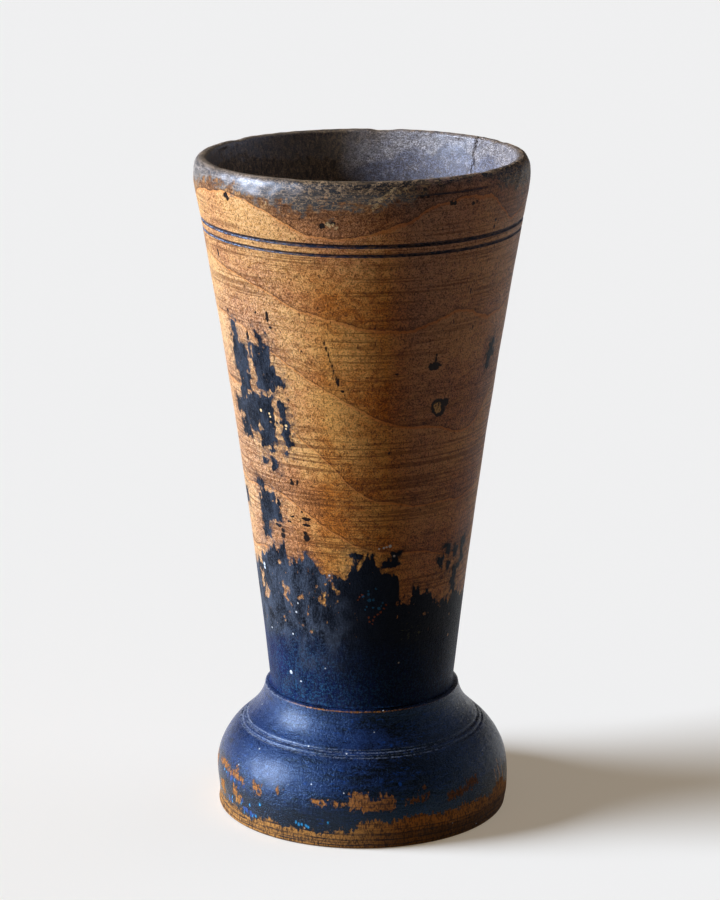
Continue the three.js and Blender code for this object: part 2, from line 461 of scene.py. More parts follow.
def foot_outline():
    """The open outline from the axis under the base to the axis at the socket's floor, as radius,
    height and closeness to the ledge's sharp edge."""
    dish = np.array([[6, BASE_DISH], [20, BASE_DISH], [29, BASE_DISH], [BASE_RING_INNER_RADIUS, 0]])
    ring = np.array([[34, 0], [38, 0]])
    edge = curve((BASE_CONTACT_RADIUS, 0), (BASE_EDGE[0], 0), BASE_EDGE, 8)
    widest = (ROUND_RADIUS, ROUND_HEIGHT)
    flank = curve(BASE_EDGE, (ROUND_RADIUS, BASE_FLANK_HEIGHT), widest, 16)[1:]
    last_turn = math.asin((ROUND_TOP[1] - ROUND_HEIGHT) / ROUND_HALF_HEIGHT)
    turn = np.linspace(0, last_turn, 44)[1:]
    drawn_in = ROUND_HALF_WIDTH * (1 - np.cos(turn))
    rise = ROUND_HALF_HEIGHT * np.sin(turn)
    upper_round = np.stack([ROUND_RADIUS - drawn_in, ROUND_HEIGHT + rise], -1)
    end = upper_round[-1]
    shoulder = end + (np.array(NECK_BOTTOM) - end) * np.linspace(0, 1, 26)[1:, None]
    ledge_height = FOOT_HIGH.z
    arris = np.array([LEDGE_RADIUS, ledge_height - LEDGE_DROP])
    neck = curve(NECK_BOTTOM, NECK_CONTROL, arris - [0, 0.12], 26)[1:]
    bevel = arris + np.array([[-0.015, -0.05], [-0.07, 0.02], [-0.16, 0.07]])
    ledge = np.array([[28.5, ledge_height - 0.22], [27.9, ledge_height], [25, ledge_height]])
    socket_radius = SPIGOT_RADIUS + GLUE_LINE
    socket_floor = SPIGOT_END - GLUE_LINE
    socket = np.array([[socket_radius, ledge_height], [socket_radius, socket_floor], [8, socket_floor]])
    outline = np.concatenate([dish, ring, edge, flank, upper_round, shoulder, neck, bevel, ledge, socket])
    closeness = np.exp(-((np.hypot(*(outline - arris).T) / 0.3) ** 2))
    return outline[:, 0], outline[:, 1], closeness


FLANK_WEAR = 0.75  # the most that the left flank is rubbed in
FOOT_DENTS = 0.07
FOOT_LUMPS = 0.03
FOOT_SHRINK = 0.08
SQUARE_IN = (0.74, 0.67)  # inwards and downwards, square to the shoulder


def flank_wear(angle, height):
    """How far the left flank is rubbed in, in mm: the most, times a bell 42 degrees wide round
    -92 degrees, times a bell 6 mm tall round a height of 5 mm."""
    across = np.exp(-((turn_apart(angle, -92) / 42) ** 2))
    return FLANK_WEAR * across * np.exp(-(((height - 5) / 6) ** 2))


def shape_foot(radius, height, angle):
    """Wear on the foot: ragged scribed lines, a flank rubbed away at the left, soft dents, and a
    base edge worn unevenly. Nothing is moved where the cup rests."""
    for middle, width, depth in SHOULDER_LINES:
        ragged = 1 + 0.3 * unevenness(angle, height, 100, 2, seed=31, waves=24)
        cut = depth * ragged * np.exp(-(((height - middle) / (0.34 * width)) ** 2))
        radius = radius - SQUARE_IN[0] * cut
        height = height - SQUARE_IN[1] * cut
    skirt = smooth(0.2, 3.0, height) * smooth(36.5, 30, height)
    radius = radius - flank_wear(angle, height) * skirt
    dents = FOOT_DENTS * unevenness(angle, height, 14, 14, seed=32)
    dents = dents + FOOT_LUMPS * unevenness(angle, height, 60, 4, seed=33, waves=24)
    return radius + (dents - FOOT_SHRINK) * skirt, height


# Paint worn off the foot: the bare band at the base as (angle, height of its top), and the rubbed
# patches as (left angle, right angle, bottom, top)
BARE_BAND = [
    (-85, 5.2), (-70, 5.4), (-58, 5), (-47, 4.2), (-42, 5.6), (-36, 5.8), (-31, 4.9), (-25, 5.3),
    (-16, 4.6), (-10, 5.5), (-4, 6.4), (-1, 8.2), (5, 9.6), (10, 8.2), (14, 9.2), (22, 10), (27, 9.6),
    (31, 9), (37, 9.4), (43, 10), (50, 10), (58, 9), (68, 10.5), (82, 8), (100, 5), (125, 6.2), (150, 9.4),
    (172, 7.5), (195, 5.2), (220, 6.5), (245, 8.2), (262, 6),
]
BARE_PATCHES = [
    (-4.5, 2.5, 12.7, 17.4), (0, 13.5, 12.4, 15.4), (7.5, 12, 14.5, 16.6), (-11, -4.5, 13.7, 14.7),
    (17, 23, 13.8, 14.9), (23, 27, 14.6, 16), (24, 26, 17, 18), (35.5, 42, 12.8, 14.8),
    (41, 47, 13.6, 15.4), (46, 52.5, 14.4, 16.6), (-78, -72, 15.4, 16.8), (-73, -67, 15.2, 16.4),
    (-68, -60, 14.8, 16), (-60, -54, 14.2, 15.6), (-60, -58.4, 16, 17.6), (-48, -43.6, 13.6, 15.6),
    (-45, -43.2, 12.4, 13.4), (-34.9, -33.6, 15, 16.4), (-75, -69, 6.6, 11), (-61, -57.6, 9, 12),
    (-59, -55.4, 7, 9.6), (-19.4, -14, 13.6, 14.6), (-90, -84, 7, 15), (66, 74, 7, 11),
    (100, 108, 14, 15.4), (112, 124, 13, 14.6), (140, 150, 12.4, 14.6), (146, 151, 14, 16.4),
    (163, 178, 13.8, 15.2), (196, 202, 12.4, 14.6), (201, 208, 14, 15.4), (218, 233, 14, 15.4),
    (227, 231, 11.6, 14), (248, 257, 10, 12.6), (262, 270, 14, 15.6),
]


BAND_RAGGEDNESS = 0.5
DEEPEST_BARE = 20


def bare_depth(angle, height):
    """How deep a point of the foot is inside bare wood, in mm: under the top of the bare band,
    which is ragged, or in a rubbed patch."""
    top_edge = BAND_RAGGEDNESS * unevenness(angle, height, 120, 30, seed=41, waves=36)
    depth = round_the_cup(BARE_BAND, angle) + top_edge - height
    for patch in BARE_PATCHES:
        depth = np.maximum(depth, stroke_depth(angle, height, patch, ROUND_RADIUS))
    return np.clip(depth, FARTHEST_OUT, DEEPEST_BARE)


def build_foot():
    """The foot's outline carried round the cup, and what its finish reads: bare wood and arris."""
    radius, height, closeness = foot_outline()
    angle = np.linspace(-180, 180, COLUMNS, endpoint=False)
    grid = np.broadcast_to(angle[None, :], (len(radius), len(angle)))
    radius, height = radius[:, None], height[:, None]
    fields = {"bare": bare_depth(grid, height), "arris": closeness[:, None]}
    shaped = np.broadcast_arrays(*shape_foot(radius, height, grid), grid)[:2]
    return turned_mesh("turned_foot", *shaped, angle, fields, closes=False)


# Floor disc


DISC_COLUMNS = 120
EASED_RIM = 0.3
TOOL_PITCH = 1.6
TOOL_MARK = 0.04  # half the height of the rings that the tool left


def build_floor_disc():
    """A disc turned flat, with its rim eased, and faint rings left by the tool on its top, whose
    height is a cosine of the radius over the tool's pitch."""
    bottom, top, reach = DISC_LOW.z, DISC_HIGH.z, REBATE_RADIUS - GLUE_LINE
    face = top - 0.05
    rings = np.arange(reach - 1.2, 1, -TOOL_PITCH / 4)
    marks = TOOL_MARK * np.cos(2 * math.pi * rings / TOOL_PITCH)
    rim_height = [bottom, bottom, bottom + EASED_RIM, face - EASED_RIM, face]
    radius = np.concatenate([[4, reach - EASED_RIM, reach, reach, reach - EASED_RIM], rings])
    height = np.concatenate([rim_height, face + marks])
    angle = np.linspace(-180, 180, DISC_COLUMNS, endpoint=False)
    grids = np.broadcast_arrays(radius[:, None], height[:, None], angle[None, :])[:2]
    return turned_mesh("turned_floor_disc", *grids, angle, {}, closes=False)


# Materials


def paint_chip(code):
    """A colour written as an sRGB hex code, as linear red, green, blue and alpha."""
    parts = [int(code[i : i + 2], 16) / 255 for i in (1, 3, 5)]
    linear = [c / 12.92 if c <= 0.04045 else ((c + 0.055) / 1.055) ** 2.4 for c in parts]
    return (*linear, 1.0)


def add_node(tree, kind, inputs, out=0, **settings):
    """Adds a node with its settings, fills its inputs (a list in their order, or a table by name
    or number; a socket is linked, anything else is set) and returns one output socket, or nothing
    for a node without any."""
    node = tree.nodes.new("ShaderNode" + kind)
    for key, value in settings.items():
        setattr(node, key, value)
    for key, value in inputs.items() if isinstance(inputs, dict) else enumerate(inputs):
        if isinstance(value, bpy.types.NodeSocket):
            tree.links.new(value, node.inputs[key])
        else:
            node.inputs[key].default_value = value
    return node.outputs[out] if node.outputs else None


def new_material(name):
    """An empty material, and add_node made ready for it."""
    material = bpy.data.materials.new(name)
    material.use_nodes = True
    material.node_tree.nodes.clear()
    return material, functools.partial(add_node, material.node_tree)


def point_in_mm(add):
    """The point being shaded, in the piece's own frame, in mm."""
    place = add("TexCoord", [], out="Object")
    return add("VectorMath", {0: place, "Scale": 1000.0}, operation="SCALE")


def speckle(add, point, across, along, low, high, top=1.0, bottom=0.0, detail=2.0, shift=0.0, twist=0.0):
    """A field of spots about `across` mm wide and `along` mm tall: noise that becomes `bottom`
    where it is under low, and `top` where it is over high."""
    scale = (1 / across, 1 / across, 1 / along)
    stretched = add("Mapping", {"Vector": point, "Location": (shift, shift, shift), "Scale": scale})
    noise = add("TexNoise", {"Vector": stretched, "Scale": 1.0, "Detail": detail, "Distortion": twist})
    return add("MapRange", [noise, low, high, bottom, top])


def level_line(add, height, middle, half_width, soft):
    """1 within half_width mm of a height, fading out over soft mm."""
    away = add("Math", [height, middle], operation="SUBTRACT")
    away = add("Math", [away], operation="ABSOLUTE")
    return add("MapRange", [away, half_width, half_width + soft, 1.0, 0.0], interpolation_type="SMOOTHSTEP")


def wall_reach(angle, height):
    """How far out a mark on the beaker lies, at any angle: on the plain flare, held to the lip's
    widest place."""
    return min(flare_radius(height), LIP_WIDEST[0] - 0.1)


def round_reach(angle, height):
    """How far out a mark on the foot lies: radius - half width (1 - sqrt(1 - rise^2)), with rise
    the share of the round's half height above its widest place, less the wear of the flank."""
    rise = max(height - ROUND_HEIGHT, 0) / ROUND_HALF_HEIGHT
    drawn_in = ROUND_HALF_WIDTH * (1 - math.sqrt(1 - rise * rise))
    return ROUND_RADIUS - drawn_in - 0.08 - float(flank_wear(angle, height))


MARK_EDGE = 0.12  # a mark fades over this far each way


def spots(add, point, marks, reach=wall_reach, tall=1.0):
    """1 inside any of a list of small marks, fading out at their edges. Each is a ball about a
    surface point, given as (angle, height, half width), made taller than wide by `tall`."""
    pressed = add("VectorMath", [point, (1.0, 1.0, 1.0 / tall)], operation="MULTIPLY")
    depth = float(FARTHEST_OUT)
    for angle, height, half_width in marks:
        turn = math.radians(angle)
        out = reach(angle, height)
        centre = (out * math.sin(turn), -out * math.cos(turn), height / tall)
        away = add("VectorMath", [pressed, centre], out=1, operation="DISTANCE")
        within = add("Math", [half_width, away], operation="SUBTRACT")
        depth = add("Math", [depth, within], operation="MAXIMUM")
    return add("MapRange", [depth, -MARK_EDGE, MARK_EDGE, 0.0, 1.0], interpolation_type="SMOOTHSTEP")


def ragged(add, point, size, reach):
    """The point moved about by up to reach mm, by noise of a size in mm, so that a mark drawn
    with it has a ragged edge."""
    fine = add("VectorMath", {0: point, "Scale": 1 / size}, operation="SCALE")
    noise = add("TexNoise", {"Vector": fine, "Scale": 1.0, "Detail": 2.0}, out="Color")
    centred = add("VectorMath", [noise, (0.5, 0.5, 0.5)], operation="SUBTRACT")
    return add("VectorMath", [centred, (4 * reach, 4 * reach, 4 * reach), point], operation="MULTIPLY_ADD")


WOOD_PALE = paint_chip("#F0AC58")
WOOD_AMBER = paint_chip("#D67E2E")
WOOD_DEEP = paint_chip("#6E3E1A")
WOOD_DOT = paint_chip("#331B0B")
# Painted sheen on the wood: paler at the lit left and under the rim
WOOD_PAINTED_SHEEN = paint_chip("#F0CCA4")
# Painted sheen on the wood at the right, where pale light glances off it
WOOD_PAINTED_SHEEN_RIGHT = paint_chip("#D6C2B4")
WOOD_SMOKED = paint_chip("#2A1A10")
PORE = paint_chip("#1E1209")
RING_LINE = paint_chip("#E08C46")
GREASE = paint_chip("#18130F")
GREASE_WORN = paint_chip("#B08C62")
# Painted sheen on the rim's grease at the lit left
GREASE_SHEEN_GREY = paint_chip("#B4A69A")
BORE_BROWN = paint_chip("#AE8E68")
BORE_DARK = paint_chip("#524434")
# The bore's half that faces the light, painted pale grey and slate
BORE_LIT_GREY = paint_chip("#BEB0A6")
BORE_LIT_SLATE = paint_chip("#827E86")
GROOVE_BLUE = paint_chip("#1A212E")
# Painted glint on the scribed lines' lower lips
GROOVE_GLINT = paint_chip("#8C98AC")
NAVY_BLACK = paint_chip("#0A0C12")
NAVY = paint_chip("#0D1D48")
# Slate dust with a painted sheen, and a violet painted sheen, for the paint's lit left
SLATE_DUST_AND_SHEEN = paint_chip("#5E6672")
VIOLET_SHEEN = paint_chip("#171446")
FOOT_BLUE = paint_chip("#1B2B4D")
FOOT_DEEP = paint_chip("#08090D")
COBALT = paint_chip("#17407C")
CYAN = paint_chip("#2C88B4")
CHALK = paint_chip("#7C828E")
DUST = paint_chip("#D8D8D2")
BARE_FOOT = paint_chip("#BC8038")
SCUFFED_FOOT = paint_chip("#B46820")
BARE_FOOT_DARK = paint_chip("#3E2508")
FRESH_FOOT = paint_chip("#F2A24A")
SCUFF = paint_chip("#D8B47C")
TEAL = paint_chip("#2A5470")
RUST = paint_chip("#763A1A")
KNOT_BLUE = paint_chip("#24526A")
MOSS = paint_chip("#55583A")
STRAW = paint_chip("#F6CD8C")
PAINT_SHEEN = paint_chip("#B4D4FF")
BLUE_SHEEN = paint_chip("#95CBFF")

# Small marks on the beaker as (angle, height, half width), in families that share a shape
SCRATCH = [(-14.6 + 0.7 * step, 153.2 - 1.75 * step, 0.3) for step in range(8)]
UPRIGHT_DASHES = SCRATCH + [
    (-9.6, 141.4, 0.5), (-38.4, 159.1, 0.6), (-51, 151.6, 0.6), (-64, 174.6, 0.5), (-31.3, 108.9, 0.4),
    (30.5, 147, 0.36), (37, 157.9, 0.26), (47.7, 154.9, 0.26), (43.8, 166.3, 0.34), (3, 87.4, 0.4),
]
LEVEL_DASHES = [
    (-28, 97.8, 1.6), (-28, 95.8, 1.4), (-36, 97.8, 0.8), (-38, 96, 0.9), (-46, 93.9, 1.4),
    (30, 144.3, 1.8), (28.6, 144.8, 1.1), (14, 143.6, 0.7),
]
DARK_DOTS = [
    (-37.4, 155.9, 0.5), (-44.4, 159.6, 0.45), (-64.2, 157.5, 0.7), (-28.4, 91.7, 1.1), (-28.9, 93.2, 0.7),
    (-30, 99.8, 0.4), (-43.4, 91, 1.0), (-43, 92.6, 0.7), (-34.2, 108.4, 0.75), (-34.6, 109.4, 0.5),
    (-7.8, 138.6, 0.5), (-7, 137.6, 0.35), (39.5, 152, 0.3), (32, 193.6, 0.7), (41, 193.3, 0.55),
    (52, 186.4, 0.45), (20, 196.6, 0.8), (22, 196.2, 0.6), (-52, 193.6, 0.9), (-51, 192.8, 0.7),
    (5, 157.8, 0.35), (-24, 150, 0.3), (12, 119.4, 0.35), (28.4, 145.2, 0.7), (30, 145.5, 0.85),
    (31.4, 145.3, 0.8), (32.8, 145, 0.5), (30.7, 148.4, 0.5), (30.8, 146.9, 0.4), (30.8, 193.7, 0.7),
    (39.5, 192.8, 0.6), (51.8, 184.4, 0.5), (-13.2, 188.2, 0.9), (-11.2, 188.8, 0.8), (-9.5, 189.1, 0.7),
]
TAN_CHIPS = [
    (8.3, 197.4, 0.7), (9.4, 198.1, 0.7), (10.8, 198.9, 0.6), (6, 195.8, 0.8), (7.2, 196.6, 0.7),
    (14, 198.8, 0.6), (4.6, 195.8, 0.5), (12.4, 198, 0.5), (2.6, 194.9, 0.5), (5, 194.2, 0.8),
    (3.6, 193.2, 0.5), (9.6, 196.2, 0.5), (-11.6, 188.8, 0.6), (-10.6, 188.2, 0.5), (-9.4, 188.6, 0.35),
    (-8.6, 187.6, 0.35), (-33, 193.4, 0.45), (-27.5, 199.2, 0.4),
]
PAINT_LOSSES = [
    (-48.5, 81.9, 0.7), (-40.5, 82.1, 0.4), (-35, 63.4, 0.4), (-29.5, 61.9, 0.5), (-24.4, 76.7, 0.4),
    (-19.4, 77.8, 0.3), (-49, 64.6, 0.4), (-48.4, 63.4, 0.36), (-44, 66.6, 0.36), (37, 66.9, 0.5),
    (60, 57, 0.4), (-31, 67.5, 0.3),
]
PALE_SPECKS = [
    (-48.8, 129.2, 0.5), (-43.6, 128.9, 0.34), (-43.2, 128, 0.32), (-34.5, 126.2, 0.4), (-34.8, 125.2, 0.3),
    (8.6, 89.5, 0.28), (11, 89.7, 0.34), (12.4, 89.9, 0.3), (14.2, 90.1, 0.5), (16.5, 86.9, 0.36),
    (-64.3, 79, 0.6), (-64.1, 77.9, 0.5), (-17, 80.7, 0.28), (-37.2, 70.2, 0.3), (-39, 67.2, 0.34),
    (-64.2, 58.8, 0.3), (-43, 59.7, 0.3), (-47.8, 46.8, 0.6), (-39.8, 44.8, 0.28), (-57.2, 118.7, 0.4),
    (-22, 50.6, 0.2), (22, 52.4, 0.24),
]
MOSS_PATCHES = [(29, 61.5, 3.8), (-29, 61.4, 1.6)]
PIN_KNOT_RING = [(33.6, 132.4, 2.4), (34.6, 131.0, 2.0), (37.4, 133.2, 1.3)]
PIN_KNOT_HEART = [(33.2, 132.6, 1.2), (33.9, 131.3, 1.1)]
KNOT_RAYS = [
    (3.3, 76.2, 0.3), (3.5, 75.2, 0.34), (0.6, 74.6, 0.34), (3.9, 73.2, 0.5), (6.2, 73.3, 0.4),
    (2.6, 71.2, 0.3), (1.8, 70.2, 0.28), (6, 70.8, 0.3), (9.2, 70.6, 0.45), (11.2, 72.2, 0.34),
    (10.4, 71.3, 0.3), (7.3, 76.9, 0.28),
]
KNOT_RUST = [
    (-1.2, 74.4, 0.3), (0.2, 75, 0.32), (-2.2, 73.4, 0.26), (3.9, 67.6, 0.36), (4.1, 66.4, 0.3),
    (7, 67.9, 0.36), (8.7, 68.6, 0.36), (10.3, 69.3, 0.36), (12, 70.4, 0.34), (13.1, 71.5, 0.3),
    (6.2, 66.8, 0.34), (5.9, 65.6, 0.28),
]


def coats(add, colour, layers):
    """Lays colours over one another in turn. A layer is how far it covers, from 0 to 1, and its
    colour."""
    for cover, over in layers:
        colour = add("Mix", {0: cover, 6: colour, 7: over}, out=2, data_type="RGBA")
    return colour


def weighed(add, fields, start=0.0):
    """The sum of fields, each times its weight, and of a starting value."""
    total = start
    for field, weight in fields:
        total = add("Math", [field, weight, total], operation="MULTIPLY_ADD")
    return total


def joined(operation, add, *fields):
    """Fields joined in turn, in their order, by one operation."""
    total, *others = fields
    for field in others:
        total = add("Math", [total, field], operation=operation)
    return total


product = functools.partial(joined, "MULTIPLY")
greatest = functools.partial(joined, "MAXIMUM")


def read_surface(add, *attributes):
    """Where the shaded point is: its place in mm, its height, how far to the right of the axis it
    is, and the named attributes."""
    place = SimpleNamespace(point=point_in_mm(add))
    place.height = add("SeparateXYZ", [place.point], out="Z")
    place.sideways = add("SeparateXYZ", [place.point], out="X")
    for name in attributes:
        setattr(place, name, add("Attribute", [], attribute_name=name, out="Fac"))
    return place


def open_pores(add, point, early, mottle, cloud):
    """Vessels, as dots and as upright dashes about 0.3 mm wide, drawn a little coarse. The dots
    crowd together just above each growth ring's arch."""
    fewest = weighed(add, [(early, -0.04), (mottle, -0.06), (cloud, -0.04)], 0.55)
    dots = speckle(add, point, 0.45, 0.42, fewest, add("Math", [fewest, 0.1]), detail=3, twist=1.3)
    return dots, speckle(add, point, 0.45, 1.1, 0.62, 0.67, detail=2, shift=11)


def lathe_lines(add, place, cloud):
    """Fine lines that run level and true round the cup, closer together in places."""
    where = speckle(add, place.point, 24, 9, 0.38, 0.58, 1.0, 0.15, shift=7)
    turned = speckle(add, place.point, 40, 0.7, 0.5, 0.6, detail=2, shift=2)
    crowded = level_line(add, weighed(add, [(cloud, 8.0)], place.height), 113.0, 5.0, 7.0)
    return product(add, turned, greatest(add, where, crowded))


def smoky_band(add, place, early, mottle, squiggle):
    """How far smoke and grease darken the wood just under the rim, less at the right."""
    near_grease = weighed(add, [(mottle, 5.0), (squiggle, 4.0)], place.grease)
    return product(
        add,
        add("MapRange", [near_grease, -10.0, 0.0, 0.0, 0.54]),
        add("MapRange", [early, 0.2, 0.6, 0.0, 1.0]),
        add("MapRange", [place.sideways, 8.0, 28.0, 1.0, 0.4]),
    )


def painted_sheen_left_and_under_rim(add, place, squiggle):
    """How pale the wood is painted at the left and under the rim: a painted sheen where the light glances off
    the polished wood.
    """
    left = product(
        add,
        add("MapRange", [place.sideways, -10.0, -28.0, 0.0, 0.3]),
        add("MapRange", [place.height, 178.0, 150.0, 1.0, 1.7]),
    )
    under_rim = product(
        add,
        add("MapRange", [place.height, 168.0, 183.0, 0.0, 0.26]),
        add("MapRange", [place.sideways, 8.0, 34.0, 1.0, 0.45]),
    )
    uneven = add("MapRange", [squiggle, 0.3, -0.3, 0.3, 1.0])
    return product(add, greatest(add, left, under_rim), uneven)


def painted_right_sheen(add, place):
    """How grey the wood is painted at the right, more so higher up: a painted sheen of pale light glancing
    off that side.
    """
    return product(
        add,
        add("MapRange", [place.sideways, 7.0, 15.0, 0.0, 1.0]),
        add("MapRange", [place.sideways, 20.0, 34.0, 1.0, 0.6]),
        add("MapRange", [place.height, 75.0, 185.0, 0.22, 0.54]),
    )


def stained_wood(add, place):
    """Stained hardwood, pale just under each growth ring's arch, and dark and open-grained just
    above it. Returns its colour and its relief in mm."""
    point = place.point
    saw = speckle(add, point, 0.9, 1.6, 0.3, 0.7, 0.007, -0.007, shift=3)
    wander = speckle(add, point, 13, 13, 0.25, 0.75, 0.05, -0.05, shift=5)
    count = weighed(add, [(saw, 1.0), (wander, 1.0)], place.ring)
    phase = add("Math", [count], operation="FRACT")
    early = add("MapRange", [phase, 0.05, 0.8, 1.0, 0.0], interpolation_type="SMOOTHSTEP")

    # Patches of three sizes, about 20 mm, 2 mm and 1 mm, that the stain and the pores follow
    cloud = speckle(add, point, 20, 26, 0.3, 0.7, 0.5, -0.5, detail=3, shift=9)
    mottle = speckle(add, point, 2.6, 2.0, 0.3, 0.7, 0.5, -0.5, detail=4, shift=13)
    squiggle = speckle(add, point, 0.95, 0.8, 0.4, 0.6, 0.5, -0.5, detail=3, shift=19, twist=2.0)
    dots, dashes = open_pores(add, point, early, mottle, cloud)
    turned = lathe_lines(add, place, cloud)

    # The stain took unevenly, deepest just above each arch
    smoke = add("MapRange", [place.height, 168.0, 192.0, 0.0, 0.1])
    stain = weighed(add, [(early, 0.3), (cloud, 0.66), (mottle, 0.42)], smoke)
    amber = add("MapRange", [stain, -0.15, 0.45, 0.0, 1.0])
    deep = weighed(add, [(stain, 0.55), (squiggle, 0.6)], -0.06)
    deep = add("MapRange", [deep, 0.0, 0.6, 0.0, 0.64])
    figured = add("MapRange", [squiggle, 0.02, 0.32, 0.0, 0.4])
    grain = product(add, dots, add("MapRange", [place.sideways, -5.0, 20.0, 0.62, 0.86]))
    scored = product(add, turned, 0.62)
    open_dashes = product(add, dashes, 0.7)
    smoked = smoky_band(add, place, early, mottle, squiggle)
    # Painted sheen: the wood is laid paler at the lit left and just under the rim
    painted_sheen = painted_sheen_left_and_under_rim(add, place, squiggle)
    # Painted sheen: the wood is laid greyer at the right, more so higher up
    right_sheen = painted_right_sheen(add, place)
    ring_line = add("MapRange", [phase, 0.965, 0.982, 0.0, 0.5])
    ring_shade = add("MapRange", [phase, 0.035, 0.0, 0.0, 0.55])
    colour = coats(
        add,
        WOOD_PALE,
        [
            (amber, WOOD_AMBER),
            (deep, WOOD_DEEP),
            (painted_sheen, WOOD_PAINTED_SHEEN),
            (right_sheen, WOOD_PAINTED_SHEEN_RIGHT),
            (figured, WOOD_DEEP),
            (scored, WOOD_DEEP),
            (smoked, WOOD_SMOKED),
            (grain, WOOD_DOT),
            (open_dashes, PORE),
            (ring_line, RING_LINE),
            (ring_shade, WOOD_DOT),
        ],
    )
    relief = weighed(add, [(dots, -0.06), (dashes, -0.06), (turned, -0.06), (squiggle, 0.05)])
    return colour, relief


def greasy_rim(add, place, under):
    """Black hand grease over the wood at the rim, rubbed back to brown fibres and scored level by handling.
    At the left it is painted pale grey, and tan along the crest, as a painted sheen and highlight on the side
    facing the light. Returns the colour, how far the grease covers, and its relief in mm."""
    point, sideways = place.point, place.sideways
    fibres = speckle(add, point, 1.3, 0.9, 0.5, 0.57, detail=4, shift=4, twist=1.8)
    scores = speckle(add, point, 5.0, 0.45, 0.48, 0.6, detail=3, shift=23)
    blot = speckle(add, point, 2.6, 2.0, 0.3, 0.7, 2.8, -2.8, detail=4, shift=4)
    fringe = weighed(add, [(blot, 1.0), (fibres, -1.2)], place.grease)
    cover = add("MapRange", [fringe, -1.4, 1.6, 0.0, 1.0], interpolation_type="SMOOTHSTEP")
    worn = weighed(add, [(fibres, 0.68), (scores, 0.26)])
    more_worn = add("MapRange", [sideways, 0.0, 24.0, 1.0, 1.4])
    worn = add("Math", [worn, more_worn], operation="MULTIPLY", use_clamp=True)
    # Painted sheen: the grease is laid paler grey towards the lit left
    rubbed = product(
        add,
        add("MapRange", [weighed(add, [(blot, 2.0)], sideways), -14.0, -36.0, 0.0, 0.66]),
        weighed(add, [(fibres, 0.5), (scores, 0.5)], 0.3),
        add("MapRange", [fringe, -1.0, 2.0, 0.0, 1.0]),
    )
    # Worn tan along the crest's inner edge, a little all round and strongly at the left as a painted
    # highlight
    crest = product(
        add,
        add("MapRange", [place.inside, 0.3, 0.55, 0.0, 1.0]),
        add("MapRange", [sideways, -12.0, -34.0, 0.2, 0.8]),
        weighed(add, [(scores, 0.5)], 0.4),
    )
    grease = coats(add, GREASE, [(worn, GREASE_WORN), (rubbed, GREASE_SHEEN_GREY), (crest, GREASE_WORN)])
    relief = product(add, weighed(add, [(fibres, 0.28), (scores, -0.18)]), cover)
    return coats(add, under, [(cover, grease)]), cover, relief


def scribed_dirt(add, place):
    """How dark the scribed lines are: two full lines round the beaker, and a third, broken one
    higher up at the right."""
    third = product(
        add,
        level_line(add, place.height, 196.7, 0.2, 0.22),
        add("MapRange", [place.sideways, 16.0, 20.0, 0.0, 1.0]),
        add("MapRange", [place.sideways, 38.0, 34.0, 0.0, 1.0]),
    )
    full = [level_line(add, place.height, middle, 0.6 * width, 0.2) for middle, width, _ in RIM_LINES]
    broken = speckle(add, place.point, 1.2, 0.6, 0.3, 0.6, 1.0, 0.72, detail=3, shift=15)
    outside = add("MapRange", [place.inside, 0.1, 0.0, 0.0, 1.0])
    return product(add, greatest(add, third, *full), broken, outside)


def painted_groove_glints(add, place):
    """Painted glints along the lower lips of the two scribed lines at the left, where the light catches them.
    """
    lower_lips = [middle - 0.35 * width for middle, width, _ in RIM_LINES]
    # Painted glint: thin pale lines along the lower lips
    dust = greatest(add, *(level_line(add, place.height, lip, 0.08, 0.16) for lip in lower_lips))
    left = add("MapRange", [place.sideways, -16.0, -32.0, 0.0, 0.8])
    broken = speckle(add, place.point, 0.9, 0.5, 0.44, 0.58, detail=3, shift=37)
    return product(add, dust, left, broken)


def old_bore(add, place):
    """The hollow: brown and fibrous at the left, and at the right painted pale grey, slate below the growth
    rings' scallops, as painted light on the half of the bore that faces the light. Returns its colour and its
    relief in mm."""
    point = place.point
    streaks = speckle(add, point, 0.8, 1.8, 0.34, 0.66, detail=4, shift=17, twist=1.0)
    crackle = speckle(add, point, 0.9, 0.6, 0.47, 0.55, detail=3, shift=25, twist=2.0)
    cloud = speckle(add, point, 16, 20, 0.3, 0.7, 0.5, -0.5, detail=3, shift=27)
    patch = speckle(add, point, 2.2, 2.0, 0.3, 0.7, 0.5, -0.5, detail=4, shift=29)
    brown = coats(add, BORE_DARK, [(streaks, BORE_BROWN)])
    scallop = add("MapRange", [place.ring, 2.96, 3.04, 0.0, 0.8])
    patchy = add("Math", [patch, 0.9, scallop], operation="MULTIPLY_ADD", use_clamp=True)
    grey = coats(add, BORE_LIT_SLATE, [(patchy, BORE_LIT_GREY)])
    # Painted light: the right half of the bore, which faces the light, is laid grey
    lit_half_painted = weighed(add, [(cloud, 14.0)], place.sideways)
    lit_half_painted = add("MapRange", [lit_half_painted, -4.0, 8.0, 0.0, 1.0], interpolation_type="SMOOTHSTEP")
    colour = coats(add, brown, [(lit_half_painted, grey), (product(add, crackle, 0.76), BORE_DARK)])
    return colour, weighed(add, [(crackle, -0.14), (streaks, 0.05)])


